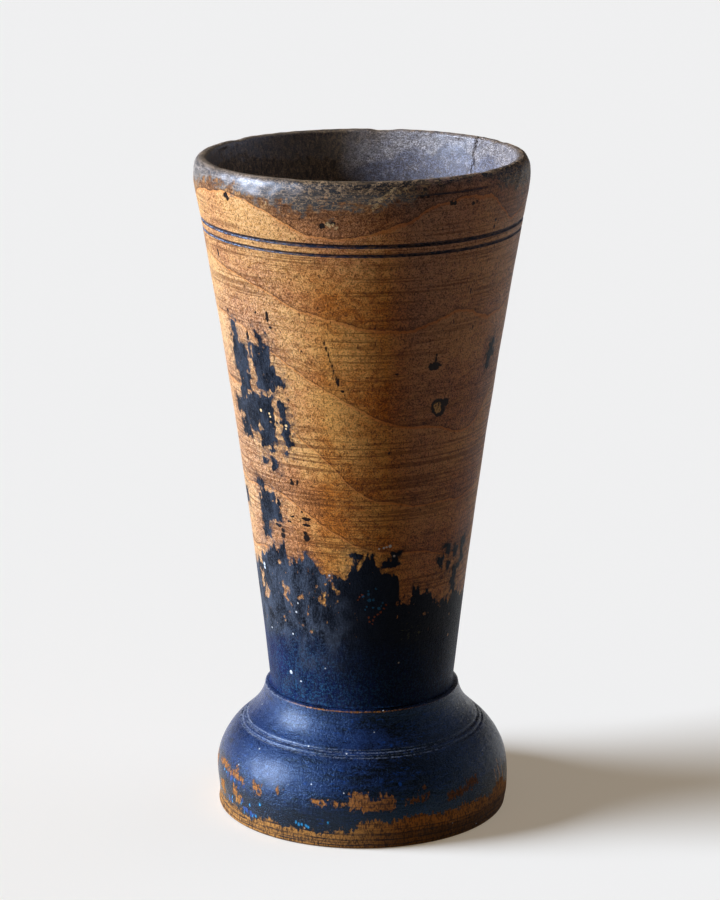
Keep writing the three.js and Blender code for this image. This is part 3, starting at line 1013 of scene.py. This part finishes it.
def beaker_paint_coat(add, place):
    """Near-black navy oil paint, deep blue low down, smeared with slate dust at the left and streaked upright
    by the brush. Towards the lit left it is laid bluer and slate-grey, and violet at the edge, as a painted
    sheen. Returns its colour and its relief in mm."""
    point, height, sideways = place.point, place.height, place.sideways
    cloud = speckle(add, point, 12, 12, 0.3, 0.7, 0.5, -0.5, detail=4, shift=31)
    brushed = speckle(add, point, 0.55, 2.2, 0.42, 0.6, detail=4, shift=1, twist=0.6)
    rubbed = speckle(add, point, 0.6, 0.6, 0.5, 0.6, detail=2, shift=19, twist=0.8)
    smears = speckle(add, point, 4, 7, 0.42, 0.64, detail=5, shift=35, twist=0.5)
    # Painted sheen: towards the lit left the paint is laid bluer, slate-grey and at its edge violet
    left = add("MapRange", [weighed(add, [(cloud, 10.0)], sideways), -2.0, -15.0, 0.06, 1.0])
    wavering = weighed(add, [(cloud, 14.0)], height)
    low = add("MapRange", [wavering, 60.0, 42.0, 0.0, 1.0])
    high = add("MapRange", [wavering, 48.0, 60.0, 0.35, 1.0])
    film = weighed(add, [(smears, 0.42), (rubbed, 0.26), (brushed, 0.12)])
    film = product(add, film, add("MapRange", [height, 84.0, 98.0, 1.0, 0.6]))
    dust_and_sheen = product(add, left, high, film)
    dashed = speckle(add, point, 0.5, 1.3, 0.48, 0.58, 0.4, 1.0, detail=3, shift=39)
    bluer = weighed(add, [(left, 0.5), (brushed, 0.4)], 0.16)
    blue = product(add, add("Math", [low, bluer], operation="MULTIPLY", use_clamp=True), dashed)
    teal = product(add, low, rubbed, weighed(add, [(left, 0.45)], 0.3))
    edge = add("MapRange", [weighed(add, [(cloud, 5.0)], sideways), -22.0, -27.0, 0.0, 0.8])
    flecks = speckle(add, point, 1.1, 1.1, 0.6, 0.7, 0.8, 0.0, detail=4, shift=21, twist=1.0)
    moss = product(add, spots(add, point, MOSS_PATCHES), flecks)
    violet_sheen = product(add, edge, low)
    layers = [(blue, NAVY), (dust_and_sheen, SLATE_DUST_AND_SHEEN), (violet_sheen, VIOLET_SHEEN), (teal, TEAL), (moss, MOSS)]
    colour = coats(add, NAVY_BLACK, layers)
    return colour, weighed(add, [(brushed, 0.1), (rubbed, 0.08)])


def paint_cover(add, place, torn):
    """How far paint covers the beaker, worn to a torn edge with holes where it is thin, and how
    far a dark stain shows just beyond it."""
    point = place.point
    fray = speckle(add, point, 1.9, 2.6, 0.28, 0.72, 1.3, -1.3, detail=3, shift=6)
    edge = add("Math", [place.paint, fray])
    painted = add("MapRange", [edge, -0.3, 0.3, 0.0, 1.0])
    stain = add("MapRange", [edge, -3.2, 0.0, 0.0, 0.7])
    stain = product(add, stain, speckle(add, point, 1.6, 1.2, 0.42, 0.6, detail=4, shift=41))
    thin = add("MapRange", [place.paint, 2.0, 12.0, 0.9, 0.0])
    holes = speckle(add, point, 0.9, 2.4, 0.69, 0.72, detail=4, shift=8)
    holes = greatest(add, product(add, holes, thin), spots(add, torn, PAINT_LOSSES))
    return add("Math", [painted, holes], operation="SUBTRACT", use_clamp=True), stain


def finish_surface(add, colour, rough, relief, settings):
    """The surface of wood or paint, whose relief is in mm, with its other settings by name."""
    bump = add("Bump", {"Height": relief, "Distance": MM, "Strength": 0.9})
    basics = {"Base Color": colour, "Roughness": rough, "Normal": bump, "IOR": 1.5}
    add("OutputMaterial", [add("BsdfPrincipled", {**basics, **settings})])


def beaker_finish():
    """Close-grained hardwood, stained amber and polished by handling, with brush-laid oil paint
    left on the lower third: warm satin wood, a greasy black rim and near-black navy paint."""
    material, add = new_material("stained_hardwood_with_worn_oil_paint")
    place = read_surface(add, "ring", "paint", "grease", "inside")
    point = place.point
    torn = ragged(add, point, 0.8, 0.22)
    wood, wood_relief = stained_wood(add, place)
    families = [(DARK_DOTS, 1.0), (UPRIGHT_DASHES, 3.2), (LEVEL_DASHES, 0.35)]
    dark_marks = greatest(add, *(spots(add, torn, marks, tall=tall) for marks, tall in families))
    wood = coats(add, wood, [(dark_marks, PORE)])
    wood, greased, rim_relief = greasy_rim(add, place, wood)
    # The scribed lines are dark with paint, and a painted glint lies along their lower lips at the left
    wood = coats(add, wood, [(scribed_dirt(add, place), GROOVE_BLUE), (painted_groove_glints(add, place), GROOVE_GLINT)])
    chips = speckle(add, point, 0.55, 0.4, 0.42, 0.52, detail=3, shift=43, twist=1.0)
    ripped = ragged(add, point, 1.3, 0.5)
    wood = coats(add, wood, [(product(add, spots(add, ripped, TAN_CHIPS), chips), SCUFF)])
    bore, bore_relief = old_bore(add, place)
    within = add("MapRange", [place.inside, 0.45, 0.85, 0.0, 1.0])
    wood = coats(add, wood, [(within, bore)])

    # Paint over the wood, with a star-shaped knot showing through it and chips in it
    painted, stain = paint_cover(add, place, torn)
    paint, paint_relief = beaker_paint_coat(add, place)
    among_strokes = add("MapRange", [place.height, 98.0, 104.0, 0.0, 1.0])
    fleck = coats(add, DUST, [(among_strokes, STRAW)])
    colour = coats(
        add,
        wood,
        [
            (greatest(add, painted, stain), paint),
            (spots(add, torn, KNOT_RAYS), KNOT_BLUE),
            (spots(add, torn, KNOT_RUST), RUST),
            (spots(add, point, PALE_SPECKS), fleck),
        ],
    )

    # A pin knot: a black ring round a golden middle
    heart = speckle(add, point, 0.7, 0.6, 0.4, 0.5, detail=2, shift=14)
    heart = product(add, spots(add, torn, PIN_KNOT_HEART), heart)
    colour = coats(add, colour, [(spots(add, torn, PIN_KNOT_RING), PORE), (heart, SCUFF)])

    rough = weighed(add, [(painted, -0.04)], 0.46)
    bare_wood = add("Math", [1.0, painted], operation="SUBTRACT")
    handled = add("MapRange", [place.sideways, 4.0, 30.0, 1.0, 0.15])
    polish = add("Math", [greased, handled, weighed(add, [(within, 0.2)], 0.1)], operation="MULTIPLY_ADD")
    polish = product(add, bare_wood, polish)
    relief = weighed(add, [(painted, 0.05), (painted, paint_relief), (within, bore_relief)], wood_relief)
    relief = add("Math", [relief, rim_relief])
    settings = {"Specular IOR Level": 0.05, "Specular Tint": PAINT_SHEEN, "Coat Roughness": 0.4}
    finish_surface(add, colour, rough, relief, {"Coat Weight": polish, **settings})
    return material


# Dark tool lines round the bare band, as (height, half width), and marks on the foot in the same
# form as the beaker's
BASE_LINES = [(1.4, 0.12), (3.1, 0.18), (5.0, 0.16)]
GOUGES = [
    (-27.5, 14.1, 0.7), (-26.3, 14.2, 0.9), (-28.2, 12.8, 0.5), (-25.5, 12.5, 0.5), (-23.8, 12.5, 0.4),
    (12, 17.5, 0.5),
]
UPRIGHT_SCORES = [
    (66, 11, 0.26), (66.2, 13, 0.32), (66.1, 15, 0.26), (69.6, 9, 0.3), (69.8, 11, 0.34), (70, 13, 0.36),
    (70, 15, 0.36), (70.3, 17, 0.28), (74.2, 10, 0.34), (74.4, 12, 0.4), (74.5, 14, 0.34), (74.8, 16, 0.24),
]
BLUE_BITS = [
    (-66.2, 14.2, 0.8), (-63, 14.1, 1.0), (-59.8, 13.9, 0.9), (-56.5, 13.8, 0.8), (-53.5, 13.6, 0.7),
    (-65, 6.9, 0.6), (-63, 6.5, 0.5), (-54.2, 8.7, 0.6), (-53, 6.1, 0.6), (-51.2, 6, 0.7),
    (-48.8, 5.5, 0.7), (-47, 5.4, 0.5), (-56.8, 11.9, 0.5), (15.5, 19.3, 0.5),
]
CYAN_BITS = [
    (-70.8, 14.2, 0.3), (-68.2, 13.9, 0.3), (-60.3, 13.5, 0.3), (-62, 7.7, 0.32), (-62.2, 6.3, 0.3),
    (-65.2, 6.1, 0.26), (-43.2, 9.7, 0.4), (-49.2, 8.3, 0.3), (-53.2, 4.9, 0.3), (-47.5, 5.1, 0.34),
    (-45.8, 5.4, 0.36), (-26, 7.2, 0.3), (-24.8, 6.6, 0.4), (-23.5, 6.7, 0.36), (-21.8, 6.5, 0.4),
    (-21, 6.1, 0.34), (-55, 7.5, 0.26), (-13, 8.3, 0.26),
]


def bare_foot_wood(add, place, cloud, drags):
    """Brown wood where the foot's paint has rubbed through: open grain, dark tool lines round the
    base, dirt at the right and fresher wood above it. Returns its colour and its grain."""
    point, height, sideways = place.point, place.height, place.sideways
    grain = speckle(add, point, 0.55, 1.5, 0.46, 0.58, 0.8, 0.0, detail=4, shift=3, twist=0.9)
    turned = speckle(add, point, 40, 0.4, 0.5, 0.62, 0.8, 0.0, detail=2, shift=9)
    wavering = weighed(add, [(cloud, 0.5)], height)
    base_lines = (level_line(add, wavering, level, half, 0.2) for level, half in BASE_LINES)
    broken_up = speckle(add, point, 2.4, 0.5, 0.4, 0.6, 0.95, 0.4, detail=4, shift=15)
    turned = product(add, greatest(add, turned, *base_lines), broken_up)
    soiled = add("MapRange", [weighed(add, [(cloud, 14.0), (drags, 8.0)], sideways), -6.0, 28.0, 0.0, 0.66])
    clean_top = level_line(add, height, 8.0, 1.2, 3.0)
    soiled = product(add, soiled, weighed(add, [(clean_top, -0.55)], 1.0))
    scuffed = add("MapRange", [weighed(add, [(drags, 2.0)], height), 6.0, 11.0, 0.0, 0.6])
    fresh = product(add, clean_top, add("MapRange", [sideways, -4.0, 22.0, 0.0, 0.8]))
    layers = [
        (scuffed, SCUFFED_FOOT),
        (fresh, FRESH_FOOT),
        (grain, BARE_FOOT_DARK),
        (turned, FOOT_DEEP),
        (soiled, BARE_FOOT_DARK),
    ]
    return coats(add, BARE_FOOT, layers), grain


def shoulder_chalk(add, place, clean_arris):
    """Chalky dust along the lips of the foot's two scribed lines, and on the ledge's edge where that isn't
    rubbed clean. It fades to the right, as a painted shade on the side away from the light."""
    chalk = product(add, place.arris, add("MapRange", [clean_arris, 0.0, 1.0, 0.8, 0.0]))
    for middle, width, _ in SHOULDER_LINES:
        away = add("Math", [place.height, middle], operation="SUBTRACT")
        away = add("Math", [away], operation="ABSOLUTE")
        chalk = greatest(add, chalk, level_line(add, away, 0.42 * width, 0.03, 0.16))
    broken = speckle(add, place.point, 0.8, 0.45, 0.46, 0.56, detail=4, shift=1, twist=1.0)
    # Painted shade: the chalk dims towards the right
    return product(add, chalk, broken, add("MapRange", [place.sideways, -30.0, 30.0, 1.0, 0.3]))


def foot_finish():
    """Old oil paint laid by brush over turned hardwood: deep uneven blue with a low sheen, chalky
    dust in the scribed lines, and brown wood where it has rubbed through."""
    material, add = new_material("worn_blue_oil_paint_on_hardwood")
    place = read_surface(add, "bare", "arris")
    point, height, sideways = place.point, place.height, place.sideways
    torn = ragged(add, point, 0.8, 0.22)

    # Brushed round the foot: blue in level drags over a near-black coat. It is painted bluer to the left and
    # blacker to the right, a painted sheen and shade from the light at the left
    drags = speckle(add, point, 7, 1.1, 0.3, 0.7, 0.55, -0.55, detail=5, shift=2)
    cloud = speckle(add, point, 14, 9, 0.3, 0.7, 0.5, -0.5, detail=3, shift=4)
    grit = speckle(add, point, 1.15, 0.75, 0.32, 0.68, 0.5, -0.5, detail=4, shift=7, twist=1.8)
    bristles = speckle(add, point, 3.0, 0.5, 0.3, 0.7, 0.5, -0.5, detail=4, shift=12, twist=0.6)
    # Painted light: the blue grows towards the lit left and fades towards the shaded right
    painted_light_lift = add("MapRange", [sideways, 14.0, -26.0, -0.42, 0.62])
    blueness = weighed(add, [(drags, 1.1), (cloud, 0.8), (grit, 1.0)], painted_light_lift)
    blueness = add("Math", [blueness, 0.5], operation="ADD", use_clamp=True)
    # The blue fades out low down on the round, leaving it darker there
    blue_fades_low_down = add("MapRange", [weighed(add, [(drags, 4.0)], height), 10.0, 17.0, 0.1, 1.0])
    blueness = product(add, blueness, blue_fades_low_down)
    flecks = speckle(add, point, 1.6, 0.45, 0.58, 0.68, 0.7, 0.0, detail=4, shift=5)
    patchy = speckle(add, point, 9, 4, 0.5, 0.6, detail=2, shift=8)
    blue_bits = spots(add, torn, BLUE_BITS, round_reach, tall=1.5)
    flecks = greatest(add, product(add, flecks, patchy), blue_bits)

    # Rubbed through to bare wood, ragged along the grain
    fray = speckle(add, point, 0.9, 1.3, 0.28, 0.72, 1.2, -1.2, detail=5, shift=6)
    edge = add("Math", [place.bare, fray])
    worn = add("MapRange", [edge, -0.2, 0.2, 0.0, 1.0])
    coat_edge = add("MapRange", [edge, -1.8, -0.6, 0.0, 0.7])
    clean_arris = add("MapRange", [sideways, -24.0, -15.0, 0.0, 1.0])
    worn_arris = product(
        add,
        add("MapRange", [weighed(add, [(fray, 0.3)], place.arris), 0.55, 0.9, 0.0, 0.9]),
        clean_arris,
        add("MapRange", [sideways, 6.0, 20.0, 1.0, 0.3]),
    )
    wood, grain = bare_foot_wood(add, place, cloud, drags)
    chalk = shoulder_chalk(add, place, clean_arris)
    specks = add("TexVoronoi", {"Vector": point, "Scale": 0.2})
    specks = add("MapRange", [specks, 0.06, 0.04, 0.0, 1.0])
    colour = coats(
        add,
        FOOT_DEEP,
        [
            (blueness, FOOT_BLUE),
            (flecks, COBALT),
            (coat_edge, FOOT_DEEP),
            (spots(add, torn, CYAN_BITS, round_reach, tall=1.6), CYAN),
            (chalk, CHALK),
            (greatest(add, worn, worn_arris), wood),
            (spots(add, torn, UPRIGHT_SCORES, round_reach, tall=4.0), BARE_FOOT),
            (spots(add, torn, GOUGES, round_reach, tall=0.5), NAVY_BLACK),
            (specks, DUST),
        ],
    )

    rough = weighed(add, [(grit, 0.2), (worn, 0.5)], 0.27)
    kept = add("MapRange", [sideways, 12.0, -8.0, 0.0, 0.22])
    polish = product(add, kept, add("MapRange", [worn, 0.0, 1.0, 1.0, 0.0]))
    relief = weighed(add, [(worn, -0.06), (grit, 0.1), (drags, 0.05), (grain, 0.04), (bristles, 0.04)])
    settings = {"Specular IOR Level": 0.3, "Specular Tint": BLUE_SHEEN, "Coat Roughness": 0.3}
    finish_surface(add, colour, rough, relief, {"Coat Weight": polish, **settings})
    return material


def disc_finish():
    """Unpolished wood darkened by drink: matt, nearly black brown, with a straight face grain."""
    material, add = new_material("dark_stained_bare_wood")
    point = point_in_mm(add)
    along_x = add("Mapping", {"Vector": point, "Scale": (0.06, 1.2, 1.2)})
    grain = add("TexNoise", {"Vector": along_x, "Scale": 1.0, "Detail": 4.0})
    stripes = add("MapRange", [grain, 0.4, 0.7, 0.0, 1.0])
    colour = add("Mix", {0: stripes, 6: BORE_DARK, 7: BORE_BROWN}, out=2, data_type="RGBA")
    bump = add("Bump", {"Height": grain, "Distance": 0.1 * MM, "Strength": 0.8})
    surface = add("BsdfPrincipled", {"Base Color": colour, "Roughness": 0.75, "Normal": bump, "IOR": 1.5})
    add("OutputMaterial", [surface])
    return material


# Stage: a pale floor, soft window light from the left, and the camera


FLOOR_SEEN = paint_chip("#ECE4D3")
FLOOR_BOUNCE = paint_chip("#6A4A2E")
FLOOR_GLOW = paint_chip("#FFE8C4")
FLOOR_GLOW_STRENGTH = 0.21


def build_floor():
    """A flat pale floor. The camera and reflections see its pale colour, and light that bounces
    off it onto the cup comes from a darker, browner one."""
    reach = 6.0
    mesh = bpy.data.meshes.new("floor")
    corners = [(-reach, -reach, 0), (reach, -reach, 0), (reach, reach, 0), (-reach, reach, 0)]
    mesh.from_pydata(corners, [], [(0, 1, 2, 3)])
    floor = bpy.data.objects.new("floor", mesh)
    bpy.context.scene.collection.objects.link(floor)
    material, add = new_material("pale_floor")
    seen = 0.0
    for ray in ("Is Camera Ray", "Is Glossy Ray", "Is Transmission Ray"):
        seen = add("Math", [seen, add("LightPath", [], out=ray)], operation="MAXIMUM")
    colour = add("Mix", {0: seen, 6: FLOOR_BOUNCE, 7: FLOOR_SEEN}, out=2, data_type="RGBA")
    lit = add("BsdfDiffuse", [colour])
    glow = add("Emission", [FLOOR_GLOW, add("Math", [seen, FLOOR_GLOW_STRENGTH], operation="MULTIPLY")])
    add("OutputMaterial", [add("AddShader", [lit, glow])])
    mesh.materials.append(material)


def add_soft_sun(name, direction, spread, strength, colour):
    """A far, soft light: `direction` points from the cup to it, `spread` is how wide it looks in
    degrees, and a strength of pi makes a white surface facing it render white."""
    light = bpy.data.lights.new(name, "SUN")
    light.angle = math.radians(spread)
    light.energy = strength
    light.color = paint_chip(colour)[:3]
    lamp = bpy.data.objects.new(name, light)
    lamp.rotation_euler = Vector(direction).to_track_quat("Z", "Y").to_euler()
    bpy.context.scene.collection.objects.link(lamp)


def build_lights():
    """Soft daylight from the left, a little light back from the right, and a dim warm room."""
    add_soft_sun("window", (-0.93, -0.105, 0.352), 32, 2.95 * math.pi, "#D2E2FF")
    add_soft_sun("pale_wall", (0.82, 0.30, 0.50), 60, 0.16 * math.pi, "#C4D6FF")
    world = bpy.data.worlds.new("pale_room")
    world.use_nodes = True
    world.node_tree.nodes.clear()
    add = functools.partial(add_node, world.node_tree)
    surface = add("Background", [paint_chip("#FFEBD4"), 0.07])
    add("OutputWorld", [surface])
    bpy.context.scene.world = world


CAMERA_BACK = 989.6
CAMERA_HEIGHT = 384.6
CAMERA_LEFT = 0.54
CAMERA_DOWN = 15.5
LENS = 137.6


def build_camera():
    """The photograph's viewpoint: about a metre away, looking down at the cup by 15.5 degrees."""
    camera = bpy.data.cameras.new("camera")
    camera.lens = LENS
    camera.sensor_width = 36.0
    view = bpy.data.objects.new("camera", camera)
    view.location = Vector((-CAMERA_LEFT, -CAMERA_BACK, CAMERA_HEIGHT)) * MM
    view.rotation_euler = (math.radians(90 - CAMERA_DOWN), 0, 0)
    bpy.context.scene.collection.objects.link(view)
    bpy.context.scene.camera = view


def dress(piece, node, material):
    """Puts a finish on a piece and lets it stand for its solid, riding on the cup's one body."""
    piece.data.materials.append(material)
    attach(piece, "root")
    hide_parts(node)


build_camera()
build_floor()
build_lights()
dress(build_beaker(), "beaker", beaker_finish())
dress(build_foot(), "foot", foot_finish())
dress(build_floor_disc(), "floor_disc", disc_finish())

bpy.context.scene.view_settings.view_transform = "Standard"
